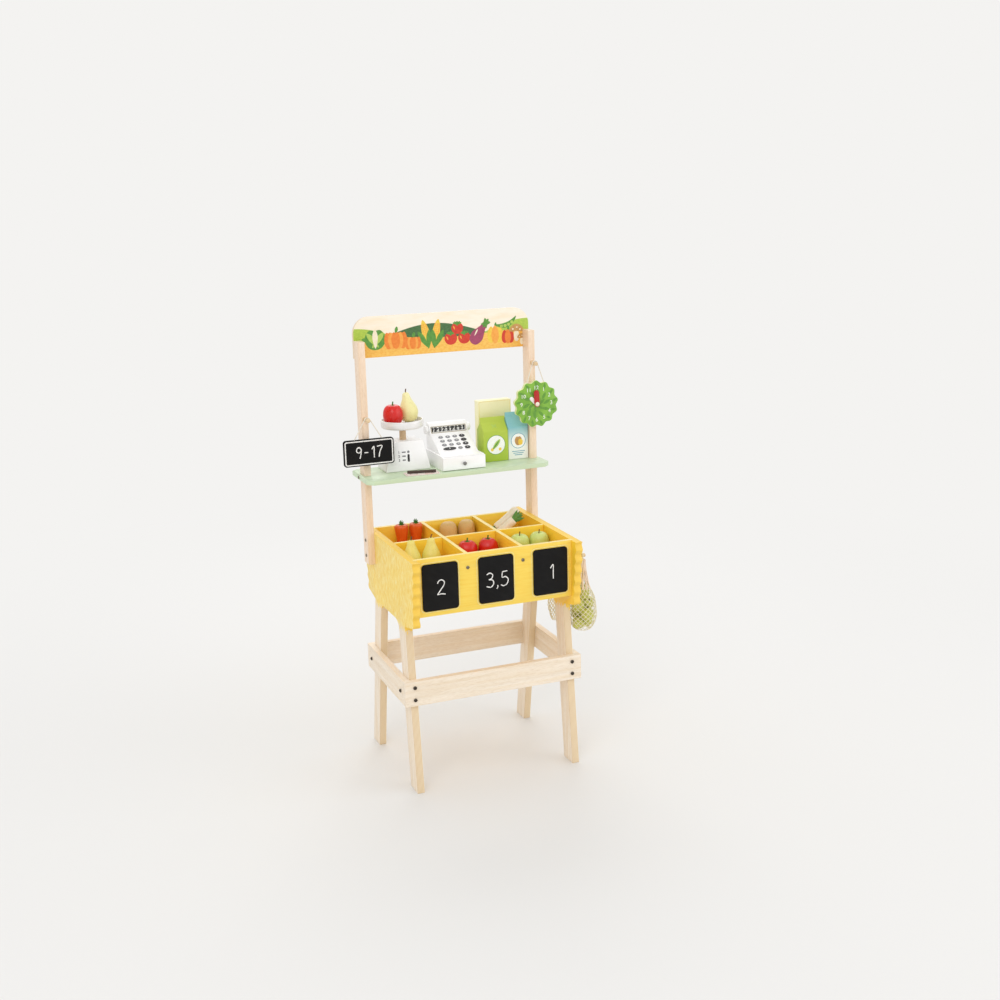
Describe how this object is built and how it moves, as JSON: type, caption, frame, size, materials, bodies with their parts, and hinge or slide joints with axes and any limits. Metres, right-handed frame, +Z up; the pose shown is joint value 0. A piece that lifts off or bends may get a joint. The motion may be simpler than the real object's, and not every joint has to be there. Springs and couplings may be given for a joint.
{
  "type": "toy market stall",
  "caption": "Plywood toy market stall with produce bins, price boards, a shelf and header, hanging sign and clock, play scale, cash register, cartons, net bags and wooden food.",
  "frame": {"origin": "centre of the bounding box on the floor", "axes": "+Z up, -Y out of the front where the price boards are, +X to the right seen from the front"},
  "size_m": [0.4825, 0.345, 0.94],
  "materials": {
    "ply_yellow": "satin, printed on plywood",
    "pine": "satin, clear lacquer",
    "header_print": "satin, printed on plywood",
    "mint": "satin, painted",
    "slate": "matte, chalkboard paint",
    "bolt": "satin",
    "screw": "satin",
    "cord": "matte, twisted",
    "clock_green": "satin, printed on plywood",
    "hand_white": "satin",
    "hand_red": "satin",
    "white_paint": "satin, painted",
    "silver_paint": "satin, painted",
    "dark_knob": "satin, painted",
    "roller": "satin, printed",
    "green_card": "satin, printed",
    "blue_card": "satin, printed",
    "yellow_card": "satin, printed",
    "paper": "matte paper",
    "chalk": "matte",
    "tomato": "satin, painted",
    "pear": "satin, painted",
    "apple": "satin, painted",
    "carrot": "satin, painted",
    "potato": "satin, painted",
    "leek": "satin, painted",
    "net": "matte, knotted net"
  },
  "bodies": {
    "stall": {"side_panel_left": "ply_yellow", "side_panel_right": "ply_yellow", "front_rail": "pine", "rear_rail": "pine", "side_rail_left": "pine", "side_rail_right": "pine", "bin_front_board": "ply_yellow", "bin_rear_board": "ply_yellow", "bin_floor": "ply_yellow", "bin_long_divider": "ply_yellow", "bin_cross_divider_left": "ply_yellow", "bin_cross_divider_right": "ply_yellow", "price_board_left": "slate", "price_board_middle": "slate", "price_board_right": "slate", "post_left": "pine", "post_right": "pine", "header_panel": "header_print", "shelf": "mint", "frame_bolts": "bolt", "wood_screws": "screw", "pegs": "pine"},
    "sign": {"sign_board": "slate", "sign_cord": "cord"},
    "clock": {"clock_face": "clock_green", "clock_cord": "cord", "clock_pin": "hand_white"},
    "hour_hand": {"clock_hour_hand": "hand_white"},
    "minute_hand": {"clock_minute_hand": "hand_red"},
    "scale": {"scale_body": "white_paint", "scale_stem": "pine", "scale_dish": "silver_paint"},
    "tomato_on_scale": {"scale_tomato": "tomato"},
    "pear_on_scale": {"scale_pear": "pear"},
    "register": {"register_body": "white_paint"},
    "drawer": {"register_drawer": "white_paint", "drawer_knob": "dark_knob"},
    "roller": {"number_roller": "roller", "roller_knobs": "white_paint"},
    "green_carton_piece": {"green_carton": "green_card"},
    "blue_carton_piece": {"blue_carton": "blue_card"},
    "yellow_box_piece": {"yellow_box": "yellow_card"},
    "play_note_piece": {"play_note": "paper"},
    "chalk_stick_piece": {"chalk_stick": "chalk"},
    "pear_left_piece": {"pear_left": "pear"},
    "pear_right_piece": {"pear_right": "pear"},
    "tomato_left_piece": {"tomato_left": "tomato"},
    "tomato_right_piece": {"tomato_right": "tomato"},
    "apple_left_piece": {"apple_left": "apple"},
    "apple_right_piece": {"apple_right": "apple"},
    "carrot_left_piece": {"carrot_left": "carrot"},
    "carrot_right_piece": {"carrot_right": "carrot"},
    "potato_left_piece": {"potato_left": "potato"},
    "potato_right_piece": {"potato_right": "potato"},
    "leek_front_piece": {"leek_front": "leek"},
    "leek_rear_piece": {"leek_rear": "leek"},
    "full_bag": {"full_net_bag": "net"},
    "empty_bag": {"empty_net_bag": "net"}
  },
  "joints": [
    {"name": "sign_swing", "type": "hinge", "parent": "stall", "child": "sign", "pos_m": [-0.187, 0.07375, 0.735], "axis": [0, 1, 0], "range_deg": [-25, 25]},
    {"name": "clock_swing", "type": "hinge", "parent": "stall", "child": "clock", "pos_m": [0.187, 0.07375, 0.824], "axis": [0, 1, 0], "range_deg": [-20, 20]},
    {"name": "hour_hand_turn", "type": "hinge", "parent": "clock", "child": "hour_hand", "pos_m": [0.187, 0.06825, 0.738], "axis": [0, 1, 0], "continuous": true},
    {"name": "minute_hand_turn", "type": "hinge", "parent": "clock", "child": "minute_hand", "pos_m": [0.187, 0.06585, 0.738], "axis": [0, 1, 0], "continuous": true},
    {"name": "scale_lift", "type": "slide", "parent": "stall", "child": "scale", "axis": [0, 0, 1], "range_m": [0, 0.03]},
    {"name": "tomato_on_scale_lift", "type": "slide", "parent": "scale", "child": "tomato_on_scale", "axis": [0, 0, 1], "range_m": [0, 0.025]},
    {"name": "pear_on_scale_lift", "type": "slide", "parent": "scale", "child": "pear_on_scale", "axis": [0, 0, 1], "range_m": [0, 0.025]},
    {"name": "register_lift", "type": "slide", "parent": "stall", "child": "register", "axis": [0, 0, 1], "range_m": [0, 0.09]},
    {"name": "drawer_slide", "type": "slide", "parent": "register", "child": "drawer", "axis": [0, -1, 0], "range_m": [0, 0.05]},
    {"name": "roller_turn", "type": "hinge", "parent": "register", "child": "roller", "pos_m": [0.01213, 0.1544, 0.6883], "axis": [1, 0, 0], "continuous": true},
    {"name": "green_carton_lift", "type": "slide", "parent": "stall", "child": "green_carton_piece", "axis": [0, 0, 1], "range_m": [0, 0.09]},
    {"name": "blue_carton_lift", "type": "slide", "parent": "stall", "child": "blue_carton_piece", "axis": [0, 0, 1], "range_m": [0, 0.09]},
    {"name": "yellow_box_lift", "type": "slide", "parent": "stall", "child": "yellow_box_piece", "axis": [0, 0, 1], "range_m": [0, 0.09]},
    {"name": "play_note_lift", "type": "slide", "parent": "stall", "child": "play_note_piece", "axis": [0, 0, 1], "range_m": [0, 0.09]},
    {"name": "chalk_stick_lift", "type": "slide", "parent": "play_note_piece", "child": "chalk_stick_piece", "axis": [0, 0, 1], "range_m": [0, 0.05]},
    {"name": "pear_left_lift", "type": "slide", "parent": "stall", "child": "pear_left_piece", "axis": [0, 0, 1], "range_m": [0, 0.09]},
    {"name": "pear_right_lift", "type": "slide", "parent": "stall", "child": "pear_right_piece", "axis": [0, 0, 1], "range_m": [0, 0.09]},
    {"name": "tomato_left_lift", "type": "slide", "parent": "stall", "child": "tomato_left_piece", "axis": [0, 0, 1], "range_m": [0, 0.09]},
    {"name": "tomato_right_lift", "type": "slide", "parent": "stall", "child": "tomato_right_piece", "axis": [0, 0, 1], "range_m": [0, 0.09]},
    {"name": "apple_left_lift", "type": "slide", "parent": "stall", "child": "apple_left_piece", "axis": [0, 0, 1], "range_m": [0, 0.09]},
    {"name": "apple_right_lift", "type": "slide", "parent": "stall", "child": "apple_right_piece", "axis": [0, 0, 1], "range_m": [0, 0.09]},
    {"name": "carrot_left_lift", "type": "slide", "parent": "stall", "child": "carrot_left_piece", "axis": [0, 0, 1], "range_m": [0, 0.09]},
    {"name": "carrot_right_lift", "type": "slide", "parent": "stall", "child": "carrot_right_piece", "axis": [0, 0, 1], "range_m": [0, 0.09]},
    {"name": "potato_left_lift", "type": "slide", "parent": "stall", "child": "potato_left_piece", "axis": [0, 0, 1], "range_m": [0, 0.09]},
    {"name": "potato_right_lift", "type": "slide", "parent": "stall", "child": "potato_right_piece", "axis": [0, 0, 1], "range_m": [0, 0.09]},
    {"name": "leek_front_lift", "type": "slide", "parent": "stall", "child": "leek_front_piece", "axis": [0, 0, 1], "range_m": [0, 0.09]},
    {"name": "leek_rear_lift", "type": "slide", "parent": "stall", "child": "leek_rear_piece", "axis": [0, 0, 1], "range_m": [0, 0.09]},
    {"name": "full_bag_swing", "type": "hinge", "parent": "stall", "child": "full_bag", "pos_m": [0.213, -0.094, 0.44], "axis": [1, 0, 0], "range_deg": [-20, 20]},
    {"name": "empty_bag_swing", "type": "hinge", "parent": "stall", "child": "empty_bag", "pos_m": [0.213, 0.048, 0.44], "axis": [1, 0, 0], "range_deg": [-20, 20]}
  ]
}
